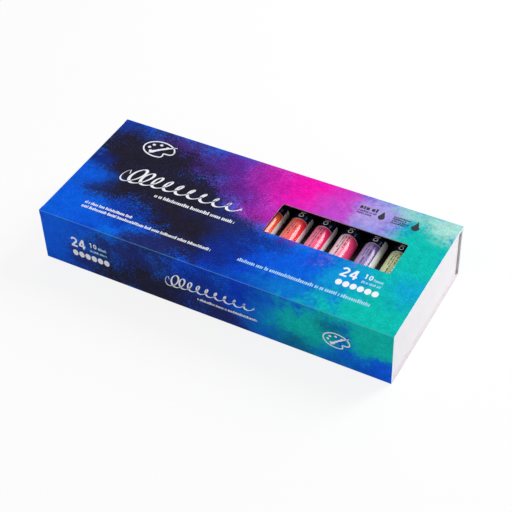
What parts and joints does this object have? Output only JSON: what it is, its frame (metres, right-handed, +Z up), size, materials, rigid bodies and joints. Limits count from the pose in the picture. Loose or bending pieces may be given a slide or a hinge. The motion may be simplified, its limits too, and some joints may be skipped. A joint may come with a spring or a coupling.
{
  "type": "watercolor tube set",
  "caption": "Book-style box of watercolour paint tubes: hinged lid with a cut-out window, magnetic front flap, white tray and formed inserts that hold capped tubes in rows.",
  "frame": {"origin": "centre of the closed box's footprint, on the table", "axes": "+X along the box's length to the viewer's right, -Y to the front flap, +Z up"},
  "size_m": [0.3, 0.128, 0.0495],
  "materials": {
    "printed_board": "grey board wrapped in matt printed paper, watercolour wash in blue, indigo, magenta and teal",
    "white_tray_paper": "board covered in matt white paper",
    "black_insert": "thin formed black plastic sheet",
    "magnet": "nickel plated disc magnet",
    "steel_plate": "zinc plated steel disc",
    "cap_plastic": "fluted moulded screw cap",
    "tube_lower": "printed lacquer on a soft aluminium tube",
    "tube_01": "printed lacquer on a soft aluminium tube",
    "tube_02": "printed lacquer on a soft aluminium tube",
    "tube_03": "printed lacquer on a soft aluminium tube",
    "tube_04": "printed lacquer on a soft aluminium tube",
    "tube_05": "printed lacquer on a soft aluminium tube",
    "tube_06": "printed lacquer on a soft aluminium tube",
    "tube_07": "printed lacquer on a soft aluminium tube",
    "tube_08": "printed lacquer on a soft aluminium tube",
    "tube_09": "printed lacquer on a soft aluminium tube",
    "tube_10": "printed lacquer on a soft aluminium tube",
    "tube_11": "printed lacquer on a soft aluminium tube",
    "tube_12": "printed lacquer on a soft aluminium tube"
  },
  "bodies": {
    "box": {"base_board": "printed_board", "lower_insert": "black_insert", "lower_tube_01": "tube_lower", "lower_tube_02": "tube_lower", "lower_tube_03": "tube_lower", "lower_tube_04": "tube_lower", "lower_tube_05": "tube_lower", "lower_tube_06": "tube_lower", "lower_tube_07": "tube_lower", "lower_tube_08": "tube_lower", "lower_tube_09": "tube_lower", "lower_tube_10": "tube_lower", "lower_tube_11": "tube_lower", "lower_tube_12": "tube_lower", "spine_board": "printed_board", "tray": "white_tray_paper", "tray_plates": "steel_plate", "upper_insert": "black_insert", "upper_tube_01": "tube_01", "upper_tube_02": "tube_02", "upper_tube_03": "tube_03", "upper_tube_04": "tube_04", "upper_tube_05": "tube_05", "upper_tube_06": "tube_06", "upper_tube_07": "tube_07", "upper_tube_08": "tube_08", "upper_tube_09": "tube_09", "upper_tube_10": "tube_10", "upper_tube_11": "tube_11", "upper_tube_12": "tube_12"},
    "lid": {"lid_board": "printed_board"},
    "flap": {"front_flap": "printed_board", "flap_magnets": "magnet"},
    "upper_cap_01": {"upper_cap_01": "cap_plastic"},
    "upper_cap_02": {"upper_cap_02": "cap_plastic"},
    "upper_cap_03": {"upper_cap_03": "cap_plastic"},
    "upper_cap_04": {"upper_cap_04": "cap_plastic"},
    "upper_cap_05": {"upper_cap_05": "cap_plastic"},
    "upper_cap_06": {"upper_cap_06": "cap_plastic"},
    "upper_cap_07": {"upper_cap_07": "cap_plastic"},
    "upper_cap_08": {"upper_cap_08": "cap_plastic"},
    "upper_cap_09": {"upper_cap_09": "cap_plastic"},
    "upper_cap_10": {"upper_cap_10": "cap_plastic"},
    "upper_cap_11": {"upper_cap_11": "cap_plastic"},
    "upper_cap_12": {"upper_cap_12": "cap_plastic"},
    "lower_cap_01": {"lower_cap_01": "cap_plastic"},
    "lower_cap_02": {"lower_cap_02": "cap_plastic"},
    "lower_cap_03": {"lower_cap_03": "cap_plastic"},
    "lower_cap_04": {"lower_cap_04": "cap_plastic"},
    "lower_cap_05": {"lower_cap_05": "cap_plastic"},
    "lower_cap_06": {"lower_cap_06": "cap_plastic"},
    "lower_cap_07": {"lower_cap_07": "cap_plastic"},
    "lower_cap_08": {"lower_cap_08": "cap_plastic"},
    "lower_cap_09": {"lower_cap_09": "cap_plastic"},
    "lower_cap_10": {"lower_cap_10": "cap_plastic"},
    "lower_cap_11": {"lower_cap_11": "cap_plastic"},
    "lower_cap_12": {"lower_cap_12": "cap_plastic"}
  },
  "joints": [
    {"name": "lid_hinge", "type": "hinge", "parent": "box", "child": "lid", "pos_m": [0, 0.064, 0.0495], "axis": [-1, 0, 0], "range_deg": [0, 180]},
    {"name": "flap_hinge", "type": "hinge", "parent": "lid", "child": "flap", "pos_m": [0, -0.064, 0.0495], "axis": [-1, 0, 0], "range_deg": [0, 180]},
    {"name": "upper_cap_01_turn", "type": "hinge", "parent": "box", "child": "upper_cap_01", "pos_m": [-0.1155, 0.0365, 0.034], "axis": [0, 1, 0], "range_deg": [0, 540]},
    {"name": "upper_cap_02_turn", "type": "hinge", "parent": "box", "child": "upper_cap_02", "pos_m": [-0.0945, 0.0365, 0.034], "axis": [0, 1, 0], "range_deg": [0, 540]},
    {"name": "upper_cap_03_turn", "type": "hinge", "parent": "box", "child": "upper_cap_03", "pos_m": [-0.0735, 0.0365, 0.034], "axis": [0, 1, 0], "range_deg": [0, 540]},
    {"name": "upper_cap_04_turn", "type": "hinge", "parent": "box", "child": "upper_cap_04", "pos_m": [-0.0525, 0.0365, 0.034], "axis": [0, 1, 0], "range_deg": [0, 540]},
    {"name": "upper_cap_05_turn", "type": "hinge", "parent": "box", "child": "upper_cap_05", "pos_m": [-0.0315, 0.0365, 0.034], "axis": [0, 1, 0], "range_deg": [0, 540]},
    {"name": "upper_cap_06_turn", "type": "hinge", "parent": "box", "child": "upper_cap_06", "pos_m": [-0.0105, 0.0365, 0.034], "axis": [0, 1, 0], "range_deg": [0, 540]},
    {"name": "upper_cap_07_turn", "type": "hinge", "parent": "box", "child": "upper_cap_07", "pos_m": [0.0105, 0.0365, 0.034], "axis": [0, 1, 0], "range_deg": [0, 540]},
    {"name": "upper_cap_08_turn", "type": "hinge", "parent": "box", "child": "upper_cap_08", "pos_m": [0.0315, 0.0365, 0.034], "axis": [0, 1, 0], "range_deg": [0, 540]},
    {"name": "upper_cap_09_turn", "type": "hinge", "parent": "box", "child": "upper_cap_09", "pos_m": [0.0525, 0.0365, 0.034], "axis": [0, 1, 0], "range_deg": [0, 540]},
    {"name": "upper_cap_10_turn", "type": "hinge", "parent": "box", "child": "upper_cap_10", "pos_m": [0.0735, 0.0365, 0.034], "axis": [0, 1, 0], "range_deg": [0, 540]},
    {"name": "upper_cap_11_turn", "type": "hinge", "parent": "box", "child": "upper_cap_11", "pos_m": [0.0945, 0.0365, 0.034], "axis": [0, 1, 0], "range_deg": [0, 540]},
    {"name": "upper_cap_12_turn", "type": "hinge", "parent": "box", "child": "upper_cap_12", "pos_m": [0.1155, 0.0365, 0.034], "axis": [0, 1, 0], "range_deg": [0, 540]},
    {"name": "lower_cap_01_turn", "type": "hinge", "parent": "box", "child": "lower_cap_01", "pos_m": [-0.1155, 0.0365, 0.0126], "axis": [0, 1, 0], "range_deg": [0, 540]},
    {"name": "lower_cap_02_turn", "type": "hinge", "parent": "box", "child": "lower_cap_02", "pos_m": [-0.0945, 0.0365, 0.0126], "axis": [0, 1, 0], "range_deg": [0, 540]},
    {"name": "lower_cap_03_turn", "type": "hinge", "parent": "box", "child": "lower_cap_03", "pos_m": [-0.0735, 0.0365, 0.0126], "axis": [0, 1, 0], "range_deg": [0, 540]},
    {"name": "lower_cap_04_turn", "type": "hinge", "parent": "box", "child": "lower_cap_04", "pos_m": [-0.0525, 0.0365, 0.0126], "axis": [0, 1, 0], "range_deg": [0, 540]},
    {"name": "lower_cap_05_turn", "type": "hinge", "parent": "box", "child": "lower_cap_05", "pos_m": [-0.0315, 0.0365, 0.0126], "axis": [0, 1, 0], "range_deg": [0, 540]},
    {"name": "lower_cap_06_turn", "type": "hinge", "parent": "box", "child": "lower_cap_06", "pos_m": [-0.0105, 0.0365, 0.0126], "axis": [0, 1, 0], "range_deg": [0, 540]},
    {"name": "lower_cap_07_turn", "type": "hinge", "parent": "box", "child": "lower_cap_07", "pos_m": [0.0105, 0.0365, 0.0126], "axis": [0, 1, 0], "range_deg": [0, 540]},
    {"name": "lower_cap_08_turn", "type": "hinge", "parent": "box", "child": "lower_cap_08", "pos_m": [0.0315, 0.0365, 0.0126], "axis": [0, 1, 0], "range_deg": [0, 540]},
    {"name": "lower_cap_09_turn", "type": "hinge", "parent": "box", "child": "lower_cap_09", "pos_m": [0.0525, 0.0365, 0.0126], "axis": [0, 1, 0], "range_deg": [0, 540]},
    {"name": "lower_cap_10_turn", "type": "hinge", "parent": "box", "child": "lower_cap_10", "pos_m": [0.0735, 0.0365, 0.0126], "axis": [0, 1, 0], "range_deg": [0, 540]},
    {"name": "lower_cap_11_turn", "type": "hinge", "parent": "box", "child": "lower_cap_11", "pos_m": [0.0945, 0.0365, 0.0126], "axis": [0, 1, 0], "range_deg": [0, 540]},
    {"name": "lower_cap_12_turn", "type": "hinge", "parent": "box", "child": "lower_cap_12", "pos_m": [0.1155, 0.0365, 0.0126], "axis": [0, 1, 0], "range_deg": [0, 540]}
  ]
}
